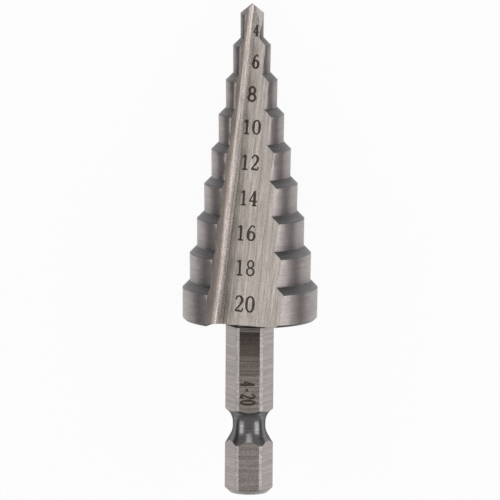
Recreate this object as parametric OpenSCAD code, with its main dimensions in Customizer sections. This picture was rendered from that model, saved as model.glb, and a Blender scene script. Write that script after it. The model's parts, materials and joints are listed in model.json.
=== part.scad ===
/* [Steps] */
// Diameter of the smallest step
first_dia = 4; // [3:0.5:6]
// Diameter that each step adds
step_rise = 2; // [1:0.5:3]
// Number of steps
step_count = 9; // [4:1:12]
// Distance from each step's cutting corner to the next
step_pitch = 5; // [3.5:0.5:8]
// Height of the smallest step, corner to corner
first_pitch = 4.6; // [3:0.1:8]
// Height of the largest step, from its corner down to the base
base_land = 4.6; // [2:0.1:8]
// Angle of the cutting shoulders from the axis
shoulder_angle = 43; // [35:1:60]
// Chamfer round the base of the largest step
rim_chamfer = 0.35; // [0.1:0.05:0.8]

/* [Point] */
// Included angle of the point
point_angle = 102; // [90:1:135]
// Distance from the axis, along the web's face, at which the ground-off heel's depth is given
heel_inset = 0.45; // [0.3:0.05:0.7]
// Depth of the ground-off heel below the flank there
heel_depth = 0.6; // [0.2:0.05:0.8]
// Angle from the flute's middle to the outer end of the ground-off heel
heel_angle = 76; // [60:1:85]
// Distance that the ground-off heel reaches below the point's corner
heel_reach = 2.3; // [1:0.1:2.6]

/* [Lands] */
// Distance that each land's centre lies off the axis, which relieves it behind its cutting edge
land_relief = 0.36; // [0.1:0.02:0.5]
// Amount that each land's radius shrinks from its corner down to its foot
back_taper = 0.05; // [0:0.01:0.1]

/* [Flutes] */
// Angle of the flute's cutting edge left of the flute's middle, at the point
edge_angle_tip = 28; // [20:1:35]
// Angle of the flute's cutting edge left of the flute's middle, at the base
edge_angle_base = 39.5; // [30:0.5:50]
// Thickness of the web between the flutes, at the point
web_tip = 0.65; // [0.5:0.05:1.2]
// Thickness of the web between the flutes, at the base
web_base = 12.8; // [10:0.1:15]
// Lean of the flute's cutting wall from the radial direction
wall_lean = 21; // [15:1:30]
// Angle between the flute's two walls
flute_angle = 88; // [80:1:100]
// Radius at the root of the flute
root_radius = 1.2; // [0.8:0.1:1.5]

/* [Shank] */
// Hexagon across its flats
hex_flats = 6.25; // [6:0.05:7]
// Diameter that the hexagon's corners are turned down to
hex_corners = 6.9; // [6.8:0.05:7.2]
// Length of the hexagon, from the end of the shank
hex_length = 24.3; // [20:0.1:40]
// Chamfer at the end of the shank
end_chamfer = 0.75; // [0.3:0.05:1]
// Diameter of the neck between the hexagon and the cone
neck_dia = 6.2; // [5.5:0.1:6.2]
// Length of the neck
neck_length = 0.9; // [0.5:0.1:3]

/* [Locking groove] */
// Diameter at the bottom of the groove
groove_dia = 4.7; // [4.2:0.1:5.2]
// Upper edge of the groove, from the end of the shank
groove_top = 12.2; // [11:0.1:14]
// Radius of the groove's curved sides
groove_radius = 2.4; // [1.8:0.1:2.8]
// Length of the groove's straight bottom
groove_flat = 0.5; // [0.2:0.1:0.9]
// Slope of the groove's lower side from the axis
groove_ramp = 30; // [25:1:40]

/* [Hidden] */
$fn = 96;

// Heights along the axis, from the end of the shank
base_z = hex_length + neck_length;
function corner_z(i) =
  base_z + base_land + (step_count - 1 - max(i, 1)) * step_pitch + (i == 0 ? first_pitch : 0);
tip_corner_z = corner_z(0);

// Steps are numbered from the point, 0 being the smallest
function step_radius(i) = (first_dia + i * step_rise) / 2;
tip_radius = step_radius(0);
base_radius = step_radius(step_count - 1);
shoulder_height = step_rise / 2 / tan(shoulder_angle);

// A land's arc is smaller than its step by what its shifted centre adds at the cutting edge
mid_edge_angle = (edge_angle_tip + edge_angle_base) / 2;
relief_drop = land_relief * cos(mid_edge_angle);
function land_radius(i) = step_radius(i) - relief_drop;
point_slope = 1 / tan(point_angle / 2);
tip_z = tip_corner_z + land_radius(0) * point_slope;
function flank_z(point) = tip_z + (land_relief - norm(point + [land_relief, 0])) * point_slope;

// Directions across the flute: along each wall away from the root, and out of each wall
number_lean = 90 + wall_lean - flute_angle;
cutting_dir = [-sin(wall_lean), -cos(wall_lean)];
cutting_out = [cos(wall_lean), -sin(wall_lean)];
number_dir = [cos(number_lean), -sin(number_lean)];
number_out = [-sin(number_lean), -cos(number_lean)];

// Share of the root's radius by which the walls pass inside its circle, so that they cross it cleanly
wall_bite = 0.004;
wall_distance = (1 - wall_bite) * root_radius;

// Centre of the root's circle, which lies beside the cutting wall and leaves the web
function edge_point(radius, angle) = radius * [-sin(angle), -cos(angle)];
function root_centre(edge, web) =
  let (start = edge + wall_distance * cutting_out)
  let (along = start * cutting_dir)
  let (beyond = start * start - pow(web / 2 + root_radius, 2))
  start + cutting_dir * (sqrt(along * along - beyond) - along);
root_tip = root_centre(edge_point(tip_radius, edge_angle_tip), web_tip);
root_base = root_centre(edge_point(base_radius, edge_angle_base), web_base);
root_slope = (root_tip - root_base) / (tip_corner_z - base_z);
flute_reach = 3 * base_radius;

// Distance by which a cut runs past the solid, or one solid into the next
overrun = first_dia / 2;

// The flute's own axes: along its run, and two across it
function flat(dir) = [dir.x, dir.y, 0];
function unit(v) = v / norm(v);
flute_run = [root_slope.x, root_slope.y, 1];
run = unit(flute_run);
run_side = unit([1, 0, 0] - run.x * run);
run_front = cross(run, run_side);
function in_section(dir) = unit([flat(dir) * run_side, flat(dir) * run_front]);

// Stepped outline of a land, from the base to the smallest step, which the point then trims
function step_outline(i) =
  let (foot_z = i == step_count - 1 ? base_z + rim_chamfer : corner_z(i + 1) + shoulder_height)
  let (top_z = i == 0 ? tip_z + overrun : corner_z(i))
  [[land_radius(i) - back_taper, foot_z], [land_radius(i), top_z]];

module land_half() {
  outline = [for (i = [step_count - 1:-1:0]) each step_outline(i)];
  intersection() {
    translate([0, -land_relief, 0])
      rotate_extrude()
        polygon(concat(
          [[0, base_z], [land_radius(step_count - 1) - back_taper - rim_chamfer, base_z]],
          outline,
          [[0, tip_z + overrun]]));
    translate([-2 * base_radius, -2 * base_radius, base_z - overrun])
      cube([2 * base_radius, 4 * base_radius, tip_z + 3 * overrun - base_z]);
  }
}

// The two flanks of the point are cones whose axes lie either side of the drill's axis
module point_flank(side) {
  height = tip_z + land_relief * point_slope - base_z + overrun;
  translate([side * land_relief, 0, base_z - overrun])
    cylinder(r1 = height / point_slope, r2 = 0, h = height);
}

module stepped_cone() {
  intersection() {
    union() {
      land_half();
      rotate([0, 0, 180])
        land_half();
    }
    point_flank(-1);
    point_flank(1);
  }
}

module flute_section() {
  cutting = in_section(cutting_dir);
  number = in_section(number_dir);
  cutting_foot = wall_distance * [cutting.y, -cutting.x];
  number_foot = wall_distance * [-number.y, number.x];
  circle(r = root_radius);
  polygon([
    [0, 0],
    cutting_foot,
    cutting_foot + flute_reach * cutting,
    number_foot + flute_reach * number,
    number_foot
  ]);
}

// The flute runs straight, leaning outwards from the point to the base
module flute() {
  start = root_base - overrun * root_slope;
  multmatrix([
    [run_side.x, run_front.x, run.x, start.x],
    [run_side.y, run_front.y, run.y, start.y],
    [run_side.z, run_front.z, run.z, base_z - overrun],
    [0, 0, 0, 1]
  ])
    linear_extrude(norm(flute_run) * (tip_z - base_z + 2 * overrun))
      flute_section();
}

// Where a wall of the front flute, followed outwards from its foot, meets a land's arc
function wall_meets_arc(foot, dir, centre, radius) =
  let (start = foot - centre)
  let (along = start * dir)
  foot + dir * (sqrt(along * along - start * start + radius * radius) - along);
function root_at(z) = root_base + (z - base_z) * root_slope;
function wall_offset(dir) = wall_distance * norm(cross(flute_run, flat(dir)));
function edge_corner(i) =
  let (foot = root_at(corner_z(i)) - wall_offset(cutting_dir) * cutting_out)
  let (corner = wall_meets_arc(foot, cutting_dir, [0, -land_relief], land_radius(i)))
  [corner.x, corner.y, corner_z(i)];
function heel_at(i, z) =
  let (foot = root_at(z) - wall_offset(number_dir) * number_out)
  let (corner = wall_meets_arc(foot, number_dir, [0, land_relief], land_radius(i)))
  [corner.x, corner.y, z];

// The right half's heel is ground off flat, from beside the chisel edge down the smallest land. The
// cut stops a quarter of the way from its lower end to the next step.
module heel_grind() {
  start = [heel_inset, -web_tip / 2, flank_z([heel_inset, -web_tip / 2]) - heel_depth];
  rim = [0, land_relief] + land_radius(0) * [sin(heel_angle), -cos(heel_angle)];
  low = heel_at(0, tip_corner_z - heel_reach);
  down = unit(low - start);
  out = unit(cross(low - start, [rim.x, rim.y, flank_z(rim)] - start));
  sideways = cross(out, down);
  past = (first_pitch - heel_reach - shoulder_height) / 4;
  intersection() {
    multmatrix([
      [down.x, sideways.x, out.x, start.x],
      [down.y, sideways.y, out.y, start.y],
      [down.z, sideways.z, out.z, start.z],
      [0, 0, 0, 1]
    ])
      translate([-overrun, -first_dia, 0])
        cube([overrun + norm(low - start) + past, 2 * first_dia, first_dia]);
    translate([0, -2 * first_dia, base_z])
      cube([2 * first_dia, 4 * first_dia, tip_z + overrun - base_z]);
  }
}

// Turned outline of the shank, before the hexagon's flats
module shank_outline() {
  corner_r = hex_corners / 2;
  polygon([
    [0, 0],
    [corner_r - end_chamfer, 0],
    [corner_r, end_chamfer],
    [corner_r, hex_length],
    [neck_dia / 2, hex_length],
    [neck_dia / 2, base_z + overrun],
    [0, base_z + overrun]
  ]);
}

module groove_outline() {
  centre_r = groove_dia / 2 + groove_radius;
  corner_rise = sqrt(pow(groove_radius, 2) - pow(centre_r - hex_corners / 2, 2));
  upper_z = groove_top - corner_rise;
  lower_z = upper_z - groove_flat;
  ramp_start = [centre_r, lower_z] - groove_radius * [cos(groove_ramp), sin(groove_ramp)];
  ramp_length = hex_corners;
  for (z = [upper_z, lower_z])
    translate([centre_r, z])
      circle(r = groove_radius);
  translate([groove_dia / 2, lower_z])
    square([centre_r, groove_flat]);
  polygon([
    [centre_r, lower_z],
    ramp_start,
    ramp_start + ramp_length * [sin(groove_ramp), -cos(groove_ramp)]
  ]);
}

module shank() {
  difference() {
    intersection() {
      cylinder(d = hex_flats / cos(30), h = base_z + overrun, $fn = 6);
      rotate_extrude()
        shank_outline();
    }
    rotate_extrude()
      groove_outline();
  }
}

// The drill along its own axis, with one flute to the front and the other behind
module upright_drill() {
  difference() {
    stepped_cone();
    for (half = [0, 180])
      rotate([0, 0, half]) {
        flute();
        heel_grind();
      }
  }
  shank();
}

// Laid on a bench, the drill rests on the rear flute's cutting corners and its largest heel corner
function behind(point) = [-point.x, -point.y, point.z];
large_corner = behind(edge_corner(step_count - 1));
small_corner = behind(edge_corner(1));
heel_contact = behind(heel_at(step_count - 1, corner_z(step_count - 1)));
up = unit(cross(small_corner - large_corner, heel_contact - large_corner));
ahead = unit([0, 0, 1] - up.z * up);
across = cross(ahead, up);
bench_height = up * large_corner;
back_reach = norm([ahead.x, ahead.y]) * (hex_corners / 2 - end_chamfer);
middle = (ahead.z * tip_z - back_reach) / 2;

module step_drill() {
  color("darkgray")
    multmatrix([
      [across.x, across.y, across.z, 0],
      [ahead.x, ahead.y, ahead.z, -middle],
      [up.x, up.y, up.z, -bench_height],
      [0, 0, 0, 1]
    ])
      upright_drill();
}

step_drill();
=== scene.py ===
# %% [markdown]
# # A step drill bit, dressed for its portrait
#
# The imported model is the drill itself, at its real size and lying as it would on a bench. Nothing
# here moves or resizes it. This lesson gives the steel its ground finishes, puts the size numbers in
# the flute, and photographs the drill from above on a white table.

import json
import math

import bmesh
import bpy
from mathutils import Matrix, Vector
from mathutils.bvhtree import BVHTree


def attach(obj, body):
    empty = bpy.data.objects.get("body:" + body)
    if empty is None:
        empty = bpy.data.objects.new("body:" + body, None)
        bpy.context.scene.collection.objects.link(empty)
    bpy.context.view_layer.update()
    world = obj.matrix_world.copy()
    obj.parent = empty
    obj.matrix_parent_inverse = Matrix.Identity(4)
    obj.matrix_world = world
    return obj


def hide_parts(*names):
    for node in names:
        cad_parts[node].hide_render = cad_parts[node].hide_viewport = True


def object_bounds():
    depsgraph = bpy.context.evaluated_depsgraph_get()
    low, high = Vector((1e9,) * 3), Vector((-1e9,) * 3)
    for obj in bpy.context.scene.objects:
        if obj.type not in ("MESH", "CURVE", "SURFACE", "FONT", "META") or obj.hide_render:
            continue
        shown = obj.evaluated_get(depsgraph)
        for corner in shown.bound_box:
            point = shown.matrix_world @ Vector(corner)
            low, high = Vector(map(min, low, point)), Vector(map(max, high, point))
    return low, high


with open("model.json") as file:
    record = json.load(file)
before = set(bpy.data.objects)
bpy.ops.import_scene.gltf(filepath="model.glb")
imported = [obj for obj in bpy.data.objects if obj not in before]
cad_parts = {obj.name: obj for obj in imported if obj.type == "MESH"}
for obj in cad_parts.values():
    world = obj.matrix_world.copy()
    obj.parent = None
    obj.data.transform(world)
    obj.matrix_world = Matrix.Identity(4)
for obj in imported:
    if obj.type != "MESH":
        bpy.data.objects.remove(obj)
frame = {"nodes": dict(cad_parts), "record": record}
CAD_BOX = [list(corner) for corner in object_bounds()]
MM = 0.001
scene = bpy.context.scene
scene.view_settings.view_transform = "Standard"
print("nodes:", sorted(frame["nodes"]), "box:", CAD_BOX)

# %% [markdown]
# ## The drill's own axes
#
# A grinder thinks along the drill's axis, but the drill lies tilted on the table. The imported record
# says where the end of the shank is and which way it faces, and the drill's own axes follow from it:
# Z runs up the axis to the point, and the flute with the numbers opens towards -Y. Only the small
# roll with which the drill comes to rest on its corners isn't in the record. Every place and pattern
# below is worked out in these axes and then turned to where the drill lies.

# %% Work out the drill's axes from the end of its shank
ROLL = math.radians(0.8826)
AXIS = Vector((0, 0, 1))

shank_end = next(mount for mount in frame["record"]["mounts"] if mount["name"] == "shank_end")
along = -Vector(shank_end["axis"]).normalized()
across = Matrix.Rotation(ROLL, 3, along) @ Vector((1, 0, 0))
behind = along.cross(across)
turned = Matrix((across, behind, along)).transposed()
DRILL = Matrix.Translation(Vector(shank_end["pos_m"])) @ turned.to_4x4()
TO_DRILL = DRILL.inverted()
print("the axis dips by", round(math.degrees(math.asin(-along.z)), 2), "degrees")

# %% [markdown]
# ## The walls of the flute
#
# Each flute is a groove with two flat walls and a rounded root between them. The narrow wall ends in
# the cutting edges, and the wide one carries the numbers. A grinding wheel ran along the flute, so its
# scratches run where the two walls would meet, square to both walls' normals. The solid's own
# triangles give these normals, because a flat wall's triangles all look the same way. The walls lean
# a little along the axis, which tells them from the rest of the front.

# %% Measure the two walls of the numbered flute
WALL_LEAN = (0.03, 0.2)


def flute_walls():
    """Normals of the number wall and the cutting wall in the drill's axes."""
    areas = {}
    for triangle in frame["nodes"]["step_drill"].data.polygons:
        normal = (TO_DRILL.to_3x3() @ triangle.normal).normalized()
        if normal.y < 0 and WALL_LEAN[0] < abs(normal.z) < WALL_LEAN[1]:
            key = tuple(round(value, 4) for value in normal)
            areas[key] = areas.get(key, 0) + triangle.area
    by_area = sorted(areas, key=areas.get, reverse=True)
    number = next(Vector(key) for key in by_area if key[0] < 0)
    cutting = next(Vector(key) for key in by_area if key[0] > 0)
    return number, cutting


NUMBER_NORMAL, CUTTING_NORMAL = flute_walls()
FLUTE_RUN = CUTTING_NORMAL.cross(NUMBER_NORMAL).normalized()
FLUTE_RUN *= math.copysign(1, FLUTE_RUN.z)
print("the walls look along", NUMBER_NORMAL, CUTTING_NORMAL, "and the scratches run along", FLUTE_RUN)

# %% [markdown]
# ## Camera
#
# The photograph was taken with a long lens from a little way towards the point, square to the open
# flute. The camera looks down on the drill from that side. Its distance from the middle of the axis
# and the lens's length set the scale. From so far away the near and the far parts of the drill come
# out at almost one scale, as they do in the photograph.

# %% Place the camera
PHOTO_PIXELS = 500
PIXELS_PER_MM = 6.976
AIM_HEIGHT = 35.16 * MM
AIM_ASIDE = -0.06 * MM
CAMERA_DISTANCE = 1.2
CAMERA_ELEVATION = math.radians(8.7)
CAMERA_LEAN = math.radians(0.44)
SENSOR_WIDTH = 36
FARTHEST_SEEN = 10


def add_camera():
    """Look at the middle of the drill, square to its flute, with its point at the top."""
    to_camera = Vector((0, -math.cos(CAMERA_ELEVATION), math.sin(CAMERA_ELEVATION)))
    right = Vector((1, 0, 0))
    upwards = to_camera.cross(right)
    turn = Matrix((right, upwards, to_camera)).transposed() @ Matrix.Rotation(CAMERA_LEAN, 3, "Z")
    place = Matrix.Translation(Vector((AIM_ASIDE, 0, AIM_HEIGHT)) + to_camera * CAMERA_DISTANCE)
    data = bpy.data.cameras.new("camera")
    data.sensor_width = SENSOR_WIDTH
    data.lens = SENSOR_WIDTH * CAMERA_DISTANCE / (PHOTO_PIXELS / PIXELS_PER_MM * MM)
    data.clip_end = FARTHEST_SEEN
    camera = bpy.data.objects.new("camera", data)
    camera.matrix_world = DRILL @ place @ turn.to_4x4()
    scene.collection.objects.link(camera)
    scene.camera = camera
    print("lens", round(data.lens), "mm at", CAMERA_DISTANCE, "m")


add_camera()

# %% [markdown]
# ## Node helpers
#
# Each finish is a small node tree. These helpers keep the trees short: one makes a material with its
# principled shader, one adds a node and sets its sockets, and the others stand for a maths node, a
# colour ramp, a product of colours and a noise.


# %% Helpers for node trees
def new_material(name):
    """A material, its node tree and its principled shader."""
    material = bpy.data.materials.new(name)
    material.use_nodes = True
    return material, material.node_tree, material.node_tree.nodes["Principled BSDF"]


def add_node(tree, kind, **values):
    """Add a node and set its sockets by name, with underscores for spaces, or by number."""
    node = tree.nodes.new(kind)
    for name, value in values.items():
        key = int(name[1:]) if name[1:].isdigit() else name.replace("_", " ")
        if isinstance(value, bpy.types.NodeSocket):
            tree.links.new(value, node.inputs[key])
        else:
            node.inputs[key].default_value = value
    return node


# %% Helpers for numbers, colours and noise
def calculate(tree, operation, first, second=0.0):
    """The result of a maths node."""
    result = add_node(tree, "ShaderNodeMath", _0=first, _1=second)
    result.operation = operation
    return result.outputs[0]


def colour_ramp(tree, factor, *stops):
    """A ramp through (position, colour) stops."""
    ramp = add_node(tree, "ShaderNodeValToRGB", Fac=factor)
    elements = ramp.color_ramp.elements
    while len(elements) < len(stops):
        elements.new(1)
    for element, (position, colour) in zip(elements, stops):
        element.position = position
        element.color = (*colour, 1)
    return ramp.outputs["Color"]


def multiply(tree, first, second):
    """The product of two colours."""
    product = add_node(tree, "ShaderNodeMixRGB", Fac=1.0, Color1=first, Color2=second)
    product.blend_type = "MULTIPLY"
    return product.outputs[0]


def noise(tree, vector, scale, detail):
    """The grey value of a noise texture."""
    grey = add_node(tree, "ShaderNodeTexNoise", Vector=vector, Scale=scale, Detail=detail, Roughness=0.6)
    return grey.outputs["Fac"]


# %% [markdown]
# ### Patterns that lie on the drill
#
# A pattern has to lie the same way on the drill whichever way the drill lies, so each one reads the
# point's place in the drill's own axes, in millimetres. A drill with two flutes repeats itself after
# half a turn, and so do its scratches. A Mapping node of the Texture kind takes a grain's size and
# direction as they are, which is easier to read than their inverse.


# %% Helpers for patterns in the drill's axes
def drill_coordinates(tree):
    """Object coordinates in the drill's axes, in millimetres."""
    place = tree.nodes.new("ShaderNodeTexCoord").outputs["Object"]
    local = add_node(tree, "ShaderNodeMapping", Vector=place, Location=DRILL.translation,
                     Rotation=DRILL.to_euler(), Scale=(MM, MM, MM))
    local.vector_type = "TEXTURE"
    return local.outputs[0]


def both_halves(tree, place):
    """Drill coordinates in which the back half, turned by half a turn, repeats the front half."""
    x, y, z = add_node(tree, "ShaderNodeSeparateXYZ", Vector=place).outputs
    side = calculate(tree, "SIGN", calculate(tree, "MULTIPLY", y, -1.0))
    return add_node(tree, "ShaderNodeCombineXYZ", X=calculate(tree, "MULTIPLY", x, side),
                    Y=calculate(tree, "MULTIPLY", y, side), Z=z).outputs[0]


def grain(tree, place, size, run=AXIS):
    """Coordinates for a noise whose grains have a size in mm, with their Z along a run."""
    drawn = add_node(tree, "ShaderNodeMapping", Vector=place, Scale=size,
                     Rotation=run.to_track_quat("Z", "Y").to_euler())
    drawn.vector_type = "TEXTURE"
    return drawn.outputs[0]


# %% [markdown]
# ## Ground steel
#
# Every face of the drill is the same steel, but the wheels ran over it in different directions: along
# the flutes, round the axis on the lands and shoulders, and across the hexagon's flats. A wheel leaves
# fine parallel scratches, and they do more than show as lines. Each one is a tiny groove that throws
# light to both sides, so a scratched face smears reflections across its scratches and keeps them
# sharp along them. One recipe serves all faces: a noise drawn out along the wheel's path gives streaks
# of tone and the bump of the scratches, and a noise of small round grains adds specks. The finishes
# differ in tone, in direction and in how deep the scratches are.
#
# Corners are darker in the colour: painted shade where little light reaches. Ambient occlusion tells how
# open a point lies, and a ramp over it sets how dark the painted corner shade is: one range suits the deep
# corner of the flute, and another the shallow one between a land and the shoulder below. A metal's Specular
# Tint is its tone where one looks along the surface; turned down, it paints shade into glancing
# reflections.

# %% Streaks of tone and painted corner shade
BROAD_SCALE = 0.3
TONE_RANGE = (1.1, 1.9)
SPECK_SIZE = (0.16, 0.16, 0.16)
# How far the painted corner shade reaches, and the ranges over which it fades.
CORNER_SHADE_REACH = 2.2 * MM
DEEP_CORNER_SHADE = (0.35, 0.9)
SHALLOW_CORNER_SHADE = (0.8, 1.0)
WHITE = (1.0, 1.0, 1.0)


def streaks(tree, place, lines, fine, dark, light):
    """A colour between two tones, from fine and broad streaks and specks."""
    broad = noise(tree, lines, BROAD_SCALE, detail=1.0)
    specks = noise(tree, grain(tree, place, SPECK_SIZE), 1.0, detail=1.0)
    tone = calculate(tree, "ADD", calculate(tree, "ADD", fine, broad), specks)
    share = add_node(tree, "ShaderNodeMapRange", Value=tone, From_Min=TONE_RANGE[0], From_Max=TONE_RANGE[1])
    return colour_ramp(tree, share.outputs[0], (0.0, dark), (1.0, light))


def paint_corner_shade(tree, colour, corner_shade_tone, corner):
    """A colour with painted shade: it falls to a tone where the surface lies less open than a range says.
    """
    openness = add_node(tree, "ShaderNodeAmbientOcclusion", Distance=CORNER_SHADE_REACH).outputs["AO"]
    shade = colour_ramp(tree, openness, (corner[0], (corner_shade_tone,) * 3), (corner[1], WHITE))
    return multiply(tree, colour, shade)


# %% One recipe for all ground faces
ROUGHNESS_SWING = 0.06


def ground_steel(name, dark, light, size, run=AXIS, depth=0.05, metal_roughness=0.3,
                 corner_shade_tone=None, corner=DEEP_CORNER_SHADE, glancing_shade_tone=1.0):
    """Steel with streaks between two tones, and scratches with a grain's size and a depth in mm."""
    material, tree, shader = new_material(name)
    shader.inputs["Metallic"].default_value = 1.0
    # A Specular Tint below white paints shade into the glancing reflections.
    shader.inputs["Specular Tint"].default_value = (glancing_shade_tone, glancing_shade_tone, glancing_shade_tone, 1)
    place = both_halves(tree, drill_coordinates(tree))
    lines = grain(tree, place, size, run)
    fine = noise(tree, lines, 1.0, detail=2.0)
    colour = streaks(tree, place, lines, fine, dark, light)
    # Darker corners here are painted shade, where little light reaches.
    if corner_shade_tone is not None:
        colour = paint_corner_shade(tree, colour, corner_shade_tone, corner)
    tree.links.new(colour, shader.inputs["Base Color"])
    rough = add_node(tree, "ShaderNodeMapRange", Value=fine, To_Min=metal_roughness + ROUGHNESS_SWING,
                     To_Max=metal_roughness - ROUGHNESS_SWING)
    tree.links.new(rough.outputs[0], shader.inputs["Roughness"])
    bump = add_node(tree, "ShaderNodeBump", Height=fine, Strength=1.0, Distance=depth * MM)
    tree.links.new(bump.outputs[0], shader.inputs["Normal"])
    return material


# %% [markdown]
# ### The finishes
#
# A grain's size gives the wheel's path: long along the flute's run, thin round the axis, thin across the
# hexagon's flats. The grain of the cutting wall is short, because this narrow wall is seen at a slant from
# the side, where long scratches would look like creases. The root of the flute is ground deepest, and its
# light tone is partly a painted highlight. The groove is turned and smooth, and its dark tone and low
# Specular Tint are painted shade on its sides.

# %% Make the finishes
ALONG_THE_RUN = (0.09, 0.09, 6)
SHORT_ALONG_THE_RUN = (0.14, 0.14, 0.9)
ROUND_THE_AXIS = (2.0, 2.0, 0.09)
ACROSS_THE_FLAT = (7.0, 7.0, 0.14)
RECIPES = {
    "number_wall": dict(dark=(0.24, 0.215, 0.193), light=(0.45, 0.405, 0.375),
                        size=ALONG_THE_RUN, run=FLUTE_RUN, depth=0.03),
    "cutting_wall": dict(dark=(0.38, 0.35, 0.325), light=(0.70, 0.655, 0.622),
                         size=SHORT_ALONG_THE_RUN, run=FLUTE_RUN, depth=0.02,
                         metal_roughness=0.45, corner_shade_tone=0.8),
    # The root's light tone is partly a painted highlight, brightening the shine from the lights.
    "flute_root": dict(dark=(0.24, 0.21, 0.192), light=(0.94, 0.845, 0.795),
                       size=ALONG_THE_RUN, run=FLUTE_RUN, depth=0.07, metal_roughness=0.42),
    "land": dict(dark=(0.315, 0.283, 0.274), light=(0.445, 0.402, 0.392), size=ROUND_THE_AXIS,
                 depth=0.02, metal_roughness=0.38, corner_shade_tone=0.3, corner=SHALLOW_CORNER_SHADE),
    # The shoulders' dark tone is painted shade, for the dark they reflect.
    "shoulder": dict(dark=(0.192, 0.183, 0.183), light=(0.31, 0.297, 0.297), size=ROUND_THE_AXIS,
                     depth=0.03, metal_roughness=0.5, corner_shade_tone=0.1, corner=SHALLOW_CORNER_SHADE),
    "heel": dict(dark=(0.60, 0.55, 0.52), light=(0.72, 0.66, 0.62), size=SPECK_SIZE, depth=0.03),
    "hex_flat": dict(dark=(0.30, 0.268, 0.256), light=(0.49, 0.443, 0.427),
                     size=ACROSS_THE_FLAT, depth=0.04),
    # The marked flat's tone, lighter than the other flats, is partly painted light.
    "marked_flat": dict(dark=(0.28, 0.249, 0.236), light=(0.735, 0.668, 0.64),
                        size=ACROSS_THE_FLAT, depth=0.06),
    "hex_corner": dict(dark=(0.28, 0.26, 0.25), light=(0.40, 0.372, 0.355), size=ROUND_THE_AXIS),
    # The groove's dark tone and low Specular Tint are painted shade, for the shadowed table its sides
    # reflect.
    "groove": dict(dark=(0.18, 0.171, 0.171), light=(0.27, 0.259, 0.259), size=ROUND_THE_AXIS,
                   depth=0.02, metal_roughness=0.24, glancing_shade_tone=0.35),
    "turned": dict(dark=(0.26, 0.248, 0.242), light=(0.37, 0.352, 0.342), size=ROUND_THE_AXIS),
    # Painted shadow: the dark gap under the cone's base.
    "shade_under_cone": dict(dark=(0.05, 0.046, 0.043), light=(0.10, 0.093, 0.088), size=ROUND_THE_AXIS),
}
FINISHES = {name: ground_steel(name, **recipe) for name, recipe in RECIPES.items()}
print("finishes:", ", ".join(FINISHES))

# %% [markdown]
# ### Tones and painted shade along the drill
#
# The flat that carries the range of sizes is browner than the others. It is darker near the cone: painted
# shade, for the shade under the cone's base, up to a lighter rim that is a painted highlight. The lands
# grow darker towards the point: painted shade, for the drill's shadow on the table that they reflect. A
# second colour ramp, which reads only the place along the drill, is multiplied into the finish's own tone.

# %% Tint and shade the marked flat, and shade the lands
HEX_TOP = 24.3
# Darker towards the cone is painted shade, and the lighter rim at the top is a painted highlight.
FLAT_BROWN_AND_SHADE = [(12.0, (1.0, 0.99, 0.97)), (16.0, (0.92, 0.90, 0.87)), (19.0, (0.66, 0.63, 0.59)),
              (22.0, (0.32, 0.29, 0.265)), (23.7, (0.22, 0.20, 0.19)), (23.8, (0.73, 0.71, 0.69)),
              (HEX_TOP, (0.73, 0.71, 0.69))]
# Darker towards the point is painted shade, for the drill's shadow on the table that the lands reflect.
LAND_SHADE_TOWARDS_POINT = [(45.0, WHITE), (58.0, (0.9, 0.9, 0.9)), (61.0, (0.75, 0.75, 0.75)),
              (69.0, (0.7, 0.7, 0.7))]


def tint_and_shade_along(finish, stops):
    """Multiply a finish's colour by a ramp of tints and painted shade at distances in mm from the shank's
    end.
    """
    tree = FINISHES[finish].node_tree
    base = tree.nodes["Principled BSDF"].inputs["Base Color"]
    place = add_node(tree, "ShaderNodeSeparateXYZ", Vector=drill_coordinates(tree))
    first, last = stops[0][0], stops[-1][0]
    share = add_node(tree, "ShaderNodeMapRange", Value=place.outputs["Z"], From_Min=first, From_Max=last)
    shares = [((distance - first) / (last - first), tint) for distance, tint in stops]
    tints = colour_ramp(tree, share.outputs[0], *shares)
    tree.links.new(multiply(tree, base.links[0].from_socket, tints), base)
    print(finish, "is tinted from", first, "to", last, "mm")


tint_and_shade_along("marked_flat", FLAT_BROWN_AND_SHADE)
tint_and_shade_along("land", LAND_SHADE_TOWARDS_POINT)

# %% [markdown]
# ## Which wheel ground which face
#
# A face's finish could be painted by hand, but its place and the way it looks already tell it. On the
# shank the faces of the hexagon stand upright round the axis, at the flats' distance from it or as
# far as the turned corners. On the cone, lands look outwards, shoulders and heels look up by more or
# less, and the walls look the way that was measured above. What is left is the flute's root.

# %% Tell a face's finish
BASE_TOP = 25.6
FLAT_RADIUS = 3.125
FLAT_WITHIN = 0.02
GROOVE_SPAN = (6.6, 12.25)
GROOVE_DEPTH_FROM = 2.6
UPRIGHT = 0.02
SAME_WAY = math.cos(math.radians(1))
LAND_OUTWARDS = 0.8
LAND_UPRIGHT = 0.1
SHOULDER_UPWARDS = 0.5
HEEL_UPWARDS = 0.2


def shank_finish(centre, normal):
    """The finish of a face of the shank: a flat, a turned corner, the groove, or the rest."""
    if GROOVE_SPAN[0] < centre.z < GROOVE_SPAN[1]:
        inside = abs(normal.z) > UPRIGHT or math.hypot(centre.x, centre.y) < GROOVE_DEPTH_FROM
        return "groove" if inside else "hex_flat"
    # The faces just under the cone get painted shadow, for the dark gap under its base.
    if centre.z > HEX_TOP:
        return "shade_under_cone"
    if abs(normal.z) > UPRIGHT:
        return "turned"
    reach = normal.x * centre.x + normal.y * centre.y
    if abs(reach - FLAT_RADIUS) > FLAT_WITHIN:
        return "hex_corner"
    return "marked_flat" if -normal.y > SAME_WAY else "hex_flat"


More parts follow.
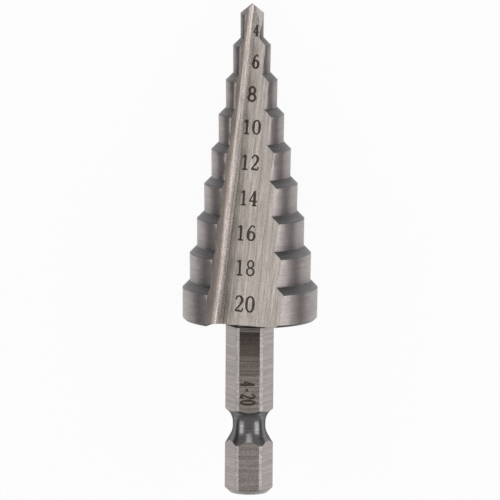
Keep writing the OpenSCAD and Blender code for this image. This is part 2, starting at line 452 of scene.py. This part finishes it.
def cone_finish(centre, normal):
    """The finish of a face of the stepped cone, told by which way it looks."""
    outwards = (normal.x * centre.x + normal.y * centre.y) / math.hypot(centre.x, centre.y)
    if outwards > LAND_OUTWARDS and abs(normal.z) < LAND_UPRIGHT:
        return "land"
    if normal.z > SHOULDER_UPWARDS:
        return "shoulder"
    if normal.z > HEEL_UPWARDS:
        return "heel"
    side = 1 if normal.y < 0 else -1
    in_front = Vector((side * normal.x, side * normal.y, normal.z))
    if in_front.dot(CUTTING_NORMAL) > SAME_WAY:
        return "cutting_wall"
    return "number_wall" if in_front.dot(NUMBER_NORMAL) > SAME_WAY else "flute_root"


# %% [markdown]
# ## The drill's body
#
# The solid is right as it is, so the body is a copy of it and keeps its place. The copy's loose
# triangles are merged, and the triangles of each flat face become one face. A real ground edge is
# never perfectly sharp: a bevel of a twentieth of a millimetre breaks every edge, and catches the thin
# line of light that makes steel look solid. All faces are shaded smooth, and weighted normals leave
# the bending of the light to the bevels, so that the large faces stay flat.


# %% Make an object of a finished bmesh
def new_piece(name, form, *materials):
    """An object with materials, made from a finished bmesh."""
    mesh = bpy.data.meshes.new(name)
    form.to_mesh(mesh)
    form.free()
    for material in materials:
        mesh.materials.append(material)
    piece = bpy.data.objects.new(name, mesh)
    scene.collection.objects.link(piece)
    return piece


# %% Share the finishes out over the faces
def share_finishes(solid):
    """Give each face of the solid its finish's number, and count the faces of each finish."""
    counts = dict.fromkeys(FINISHES, 0)
    for face in solid.faces:
        centre = TO_DRILL @ face.calc_center_median() / MM
        normal = (TO_DRILL.to_3x3() @ face.normal).normalized()
        finish = shank_finish(centre, normal) if centre.z < BASE_TOP else cone_finish(centre, normal)
        face.material_index = list(FINISHES).index(finish)
        face.smooth = True
        counts[finish] += 1
    print("faces by finish:", counts)


# %% Copy the solid and break its edges
MERGE_DISTANCE = 0.0005 * MM
FLAT_ANGLE = math.radians(0.3)
EDGE_ANGLE = math.radians(20)
EDGE_WIDTH = 0.05 * MM
FLAT_FACES_ONLY = 100


def add_body():
    """A merged copy of the solid, with a finish on each face and its edges broken."""
    solid = bmesh.new()
    solid.from_mesh(frame["nodes"]["step_drill"].data)
    bmesh.ops.remove_doubles(solid, verts=solid.verts, dist=MERGE_DISTANCE)
    bmesh.ops.dissolve_limit(solid, verts=solid.verts, edges=solid.edges, angle_limit=FLAT_ANGLE)
    edges = [edge for edge in solid.edges if edge.calc_face_angle(0) > EDGE_ANGLE]
    print(len(edges), "edges, the longest", round(max(edge.calc_length() for edge in edges) / MM, 1), "mm")
    share_finishes(solid)
    bmesh.ops.bevel(solid, geom=edges, offset=EDGE_WIDTH, offset_type="OFFSET", affect="EDGES", segments=2,
                    profile=0.5, material=-1, clamp_overlap=True)
    body = new_piece("ground_body", solid, *FINISHES.values())
    body.data.attributes.remove(body.data.attributes["custom_normal"])
    flat_faces_first = body.modifiers.new("flat_faces_first", "WEIGHTED_NORMAL")
    flat_faces_first.weight = FLAT_FACES_ONLY
    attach(body, "root")
    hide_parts("step_drill")
    return body


ground_body = add_body()

# %% [markdown]
# ## Size numbers
#
# A laser has burnt each step's diameter into the flute, and the range of sizes into the shank. The
# marks are brown, and each figure has thick stems, thin hairlines and small feet. So a figure is
# written as a pen would write it: a few strokes along smooth curves, each thicker where the pen
# presses. A curve with a round bevel gives such a stroke, its points' radius being half its width.
# Each stroke below is a list of points: across, up, and half the width there.

# %% The strokes of the figures, in a box one unit high
STEM, HAIR = 0.085, 0.045
STROKES = {
    "0": [[(0.30, 0.96, HAIR), (0.53, 0.50, STEM), (0.30, 0.04, HAIR), (0.07, 0.50, STEM)]],
    "1": [[(0.31, 0.96, 0.07), (0.31, 0.50, 0.07), (0.31, 0.03, 0.07)],
          [(0.10, 0.82, HAIR), (0.20, 0.87, HAIR), (0.31, 0.94, 0.06)],
          [(0.12, 0.03, HAIR), (0.31, 0.03, HAIR), (0.50, 0.03, HAIR)]],
    "2": [[(0.09, 0.74, 0.055), (0.14, 0.89, HAIR), (0.29, 0.96, HAIR), (0.49, 0.77, STEM),
           (0.40, 0.49, 0.06), (0.20, 0.24, HAIR), (0.06, 0.06, HAIR)],
          [(0.06, 0.06, 0.05), (0.28, 0.07, 0.06), (0.47, 0.05, 0.05), (0.55, 0.24, HAIR)]],
    "4": [[(0.38, 0.95, HAIR), (0.21, 0.63, HAIR), (0.04, 0.31, HAIR)],
          [(0.03, 0.30, HAIR), (0.30, 0.30, HAIR), (0.58, 0.30, HAIR)],
          [(0.39, 0.96, STEM), (0.39, 0.50, STEM), (0.39, 0.03, STEM)],
          [(0.23, 0.03, HAIR), (0.39, 0.03, HAIR), (0.56, 0.03, HAIR)]],
    "6": [[(0.30, 0.58, HAIR), (0.52, 0.31, STEM), (0.30, 0.04, HAIR), (0.08, 0.31, STEM)],
          [(0.08, 0.34, STEM), (0.11, 0.62, 0.065), (0.26, 0.90, HAIR), (0.41, 0.96, HAIR),
           (0.50, 0.86, 0.055)]],
    "8": [[(0.30, 0.50, HAIR), (0.53, 0.27, 0.062), (0.30, 0.04, HAIR), (0.07, 0.27, 0.062)],
          [(0.30, 0.96, HAIR), (0.49, 0.73, 0.058), (0.30, 0.51, HAIR), (0.11, 0.73, 0.058)]],
    "-": [[(0.12, 0.42, HAIR), (0.30, 0.42, HAIR), (0.48, 0.42, HAIR)]],
}
print("strokes:", {figure: len(strokes) for figure, strokes in STROKES.items()})

# %% [markdown]
# ### Writing a number
#
# The 0, both rings of the 8 and the bowl of the 6 close on themselves, and every other stroke has two
# capped ends. The curve becomes a mesh before it is laid anywhere, because a finished piece has its
# place in its mesh. On the narrow upper steps the numbers are written heavier, as the laser did.

# %% Write figures as a mesh
ADVANCE = 0.72
FIGURE_MIDDLE = (0.3, 0.5)


def is_ring(figure, number):
    """Whether a figure's stroke of this number closes on itself."""
    return figure in "08" or (figure == "6" and number == 0)


def write_figures(text, weight):
    """A mesh of the text's strokes in its own plane, one unit high and centred."""
    curve = bpy.data.curves.new("strokes", "CURVE")
    curve.dimensions = "3D"
    curve.bevel_depth = 1.0
    curve.bevel_resolution = 1
    curve.resolution_u = 6
    curve.use_fill_caps = True
    start = -(len(text) - 1) * ADVANCE / 2 - FIGURE_MIDDLE[0]
    for place, figure in enumerate(text):
        for number, stroke in enumerate(STROKES[figure]):
            spline = curve.splines.new("BEZIER")
            spline.bezier_points.add(len(stroke) - 1)
            spline.use_cyclic_u = is_ring(figure, number)
            for point, (x, y, half_width) in zip(spline.bezier_points, stroke):
                point.co = (start + place * ADVANCE + x, y - FIGURE_MIDDLE[1], 0)
                point.radius = half_width * weight
                point.handle_left_type = point.handle_right_type = "AUTO"
    writer = bpy.data.objects.new("strokes", curve)
    written = bpy.data.meshes.new_from_object(writer)
    bpy.data.objects.remove(writer)
    return written


# %% [markdown]
# ### Where the marks go
#
# A mark stands on a plane: that of the number wall, or of the shank's front flat. The largest face
# with the finish gives this plane, and the place across and along the drill says where on it the mark
# stands. The strokes are squashed until they rise only 0.015 mm, as a burnt mark does.

# %% Find the faces that carry the marks
FRONTWARDS = 0.8
MARK_RELIEF = 0.015


def largest_face(finish):
    """Centre and normal, in the drill's axes and millimetres, of the finish's largest front face."""
    faces = []
    for face in ground_body.data.polygons:
        normal = TO_DRILL.to_3x3() @ face.normal
        if face.material_index == list(FINISHES).index(finish) and -normal.y > FRONTWARDS:
            faces.append((face.area, TO_DRILL @ face.center / MM, normal.normalized()))
    return max(faces, key=lambda face: face[0])[1:]


def mark_place(face, x, z, height, width, turn):
    """Where a mark one unit high goes: upright on a face's plane, across and along the drill."""
    centre, normal = face
    y = centre.y - (normal.x * (x - centre.x) + normal.z * (z - centre.z)) / normal.y
    upright = (AXIS - normal * normal.z).normalized()
    axes = Matrix((upright.cross(normal), upright, normal)).transposed().to_4x4()
    size = Matrix.Diagonal((height * width, height, MARK_RELIEF / STEM, 1))
    in_drill = Matrix.Translation(Vector((x, y, z))) @ axes @ Matrix.Rotation(turn, 4, "Z") @ size
    return DRILL @ Matrix.Scale(MM, 4) @ in_drill


number_face = largest_face("number_wall")
marked_face = largest_face("marked_flat")
print("the numbers stand round", number_face[0], "and the range of sizes round", marked_face[0])

# %% [markdown]
# ### Laying the marks on the steel
#
# On the upper steps the wall is narrow, and a number may reach into the rounded root, where a flat
# mark would float or sink. A ray from in front of each of its points finds the body's own surface
# below, and the point goes as high over that surface as it stood over the plane. Scratches would be
# lost in so thin a mark, so only its brown is uneven.

# %% Make the finish of the marks
BURNT_DARK = (0.045, 0.028, 0.02)
BURNT_LIGHT = (0.09, 0.062, 0.048)


def burnt_steel():
    """Brown laser marks, a little uneven."""
    material, tree, shader = new_material("laser_mark")
    shader.inputs["Metallic"].default_value = 0.2
    shader.inputs["Roughness"].default_value = 0.6
    spots = noise(tree, drill_coordinates(tree), 3.0, detail=3.0)
    brown = colour_ramp(tree, spots, (0.35, BURNT_DARK), (0.65, BURNT_LIGHT))
    tree.links.new(brown, shader.inputs["Base Color"])
    return material


laser_mark = burnt_steel()

# %% Lay marks on the body
LOOK_FROM = 2 * MM
WELD_DISTANCE = 0.0001 * MM
BODY_SURFACE = BVHTree.FromPolygons([vertex.co for vertex in ground_body.data.vertices],
                                    [face.vertices for face in ground_body.data.polygons])


def lay_on_body(written, place):
    """Move a mark to its place, each point as high over the body's surface as over the mark's plane."""
    outwards = (place.to_3x3() @ AXIS).normalized()
    for vertex in written.vertices:
        x, y, height = vertex.co
        above = place @ Vector((x, y, 0)) + outwards * LOOK_FROM
        touched = BODY_SURFACE.ray_cast(above, -outwards)[0]
        vertex.co = touched + outwards * height * MARK_RELIEF / STEM * MM


def add_marks(name, face, marks, turn=0.0):
    """One piece of marks on a face, each a text, its place, height, width and weight."""
    form = bmesh.new()
    for text, x, z, height, width, weight in marks:
        written = write_figures(text, weight)
        lay_on_body(written, mark_place(face, x, z, height, width, turn))
        form.from_mesh(written)
    bmesh.ops.remove_doubles(form, verts=form.verts, dist=WELD_DISTANCE)
    bmesh.ops.recalc_face_normals(form, faces=form.faces)
    piece = new_piece(name, form, laser_mark)
    piece.data.shade_smooth()
    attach(piece, "root")
    print(name, "has", len(piece.data.polygons), "faces")


# %% Burn the size numbers and the range of sizes
SIZE_MARKS = [("4", 0.62, 67.0, 1.7, 0.8, 1.45), ("6", 0.58, 62.55, 2.0, 0.86, 1.5),
              ("8", 0.08, 57.95, 2.2, 1.0, 1.5), ("10", 0.05, 53.3, 2.1, 1.0, 1.2),
              ("12", -0.15, 48.3, 2.2, 0.97, 1.2), ("14", -0.33, 43.27, 2.2, 0.95, 1.15),
              ("16", -0.65, 38.32, 2.25, 1.0, 1.1), ("18", -0.74, 33.38, 2.3, 1.0, 1.1),
              ("20", -0.78, 28.27, 2.35, 1.0, 1.1)]
RANGE_MARKS = [("4-20", -0.20, 14.85, 2.1, 0.6, 1.7)]
DOWN_THE_SHANK = -math.pi / 2

add_marks("size_numbers", number_face, SIZE_MARKS)
add_marks("range_mark", marked_face, RANGE_MARKS, DOWN_THE_SHANK)

# %% [markdown]
# ## Table
#
# The drill lies on a plain white table. To the camera, and in what the steel reflects, the table
# glows evenly with a colour just under white. A small share of plain white paper stays mixed in, and
# it takes the drill's soft shadow. To every other ray the table is only paper, so its glow puts no
# light on the drill.

# %% Set the table
FLOOR_SIZE = 6.0
FLOOR_GLOW = 0.94
PAPER = (0.92, 0.92, 0.92, 1)


def add_floor():
    """A white table that keeps the drill's soft shadow."""
    material, tree, shader = new_material("white_table")
    tree.nodes.remove(shader)
    paths = tree.nodes.new("ShaderNodeLightPath").outputs
    seen = calculate(tree, "ADD", paths["Is Camera Ray"], paths["Is Glossy Ray"])
    seen = calculate(tree, "MINIMUM", calculate(tree, "ADD", seen, paths["Is Transmission Ray"]), 1.0)
    part = calculate(tree, "MULTIPLY", seen, FLOOR_GLOW)
    paper = add_node(tree, "ShaderNodeBsdfDiffuse", Color=PAPER)
    glow = add_node(tree, "ShaderNodeEmission", Color=(*WHITE, 1), Strength=1.0)
    mixed = add_node(tree, "ShaderNodeMixShader", _0=part, _1=paper.outputs[0], _2=glow.outputs[0])
    tree.links.new(mixed.outputs[0], tree.nodes["Material Output"].inputs["Surface"])
    sheet = bmesh.new()
    bmesh.ops.create_grid(sheet, x_segments=1, y_segments=1, size=FLOOR_SIZE / 2)
    table = new_piece("table", sheet, material)
    print("the table is", FLOOR_SIZE, "m wide")


add_floor()

# %% [markdown]
# ## Lights
#
# Bright metal is a mirror for what stands round it. The photograph's drill reflects two long soft
# lights, one on each side, with darkness between them. A third light hangs halfway between the camera
# and the point, and the even grey of the world fills in the rest.

# %% Hang the lights
SOFTBOX_DISTANCE = 0.6
WATTS_PER_RADIANCE = 4
WORLD_GREY = 0.37


def add_softbox(name, azimuth, elevation, width, length, radiance):
    """A soft light that faces the drill, so far round it from the camera and so far up to its point."""
    data = bpy.data.lights.new(name, "AREA")
    data.shape = "RECTANGLE"
    data.size, data.size_y = width, length
    data.energy = radiance * WATTS_PER_RADIANCE * width * length
    softbox = bpy.data.objects.new(name, data)
    azimuth, elevation = math.radians(azimuth), math.radians(elevation)
    away = Vector((math.sin(azimuth) * math.cos(elevation), -math.cos(azimuth) * math.cos(elevation),
                   math.sin(elevation)))
    sideways = AXIS.cross(away).normalized()
    turn = Matrix((sideways, away.cross(sideways), away)).transposed()
    middle = Matrix.Translation(Vector((0, 0, AIM_HEIGHT)) + away * SOFTBOX_DISTANCE)
    softbox.matrix_world = DRILL @ middle @ turn.to_4x4()
    scene.collection.objects.link(softbox)


add_softbox("left_softbox", azimuth=-54, elevation=0, width=0.28, length=0.6, radiance=1.4)
add_softbox("right_softbox", azimuth=57, elevation=0, width=0.34, length=0.6, radiance=1.4)
add_softbox("point_softbox", azimuth=0, elevation=45, width=0.25, length=0.3, radiance=1.15)
world = bpy.data.worlds.new("studio")
world.use_nodes = True
world.node_tree.nodes["Background"].inputs["Color"].default_value = (WORLD_GREY,) * 3 + (1,)
scene.world = world

# %% [markdown]
# ## Dark cards
#
# Steel between white lights on a white table would look flat, so photographers set dark cards round
# it. The dark bands that the cards leave in the reflections draw the drill's forms. Two cards start
# beside the drill and slope up outwards, the darker one on the left, and an upright one stands beyond
# the point. Only reflections see them, so they may stand closer than in a studio and cast no shadow.

# %% Set dark cards round the drill
CARD_REACH = 0.11
CARD_PAST_POINT = 0.03
CARD_RISE = 0.035
CARD_BESIDE_SHANK = 0.06
CARD_BESIDE_POINT = 0.008
CARD_LIFT = 0.1 * MM
POINT_CARD_AWAY = 0.08
POINT_CARD_WIDTH = 0.16
POINT_CARD_HEIGHT = 0.045
SHANK_Y, POINT_Y = CAD_BOX[0][1], CAD_BOX[1][1]


def beside(side):
    """Corners of a card from beside the drill outwards and upwards."""
    return [(side * CARD_BESIDE_SHANK, SHANK_Y, CARD_LIFT),
            (side * CARD_BESIDE_POINT, POINT_Y, CARD_LIFT),
            (side * CARD_REACH, POINT_Y + CARD_PAST_POINT, CARD_RISE),
            (side * CARD_REACH, SHANK_Y - CARD_REACH, CARD_RISE)]


def beyond_point():
    """Corners of an upright card beyond the point."""
    place, half = POINT_Y + POINT_CARD_AWAY, POINT_CARD_WIDTH / 2
    return [(-half, place, 0), (half, place, 0),
            (half, place, POINT_CARD_HEIGHT), (-half, place, POINT_CARD_HEIGHT)]


def add_card(name, grey, corners):
    """A dark card that only reflections see."""
    material, _, shader = new_material(name)
    shader.inputs["Base Color"].default_value = (grey, grey, grey, 1)
    shader.inputs["Roughness"].default_value = 0.9
    form = bmesh.new()
    form.faces.new([form.verts.new(corner) for corner in corners])
    card = new_piece(name, form, material)
    card.visible_camera = card.visible_diffuse = card.visible_shadow = False
    print(name, "covers", round(card.data.polygons[0].area, 4), "square metres")


add_card("left_card", 0.08, beside(-1))
add_card("right_card", 0.2, beside(1))
add_card("point_card", 0.03, beyond_point())
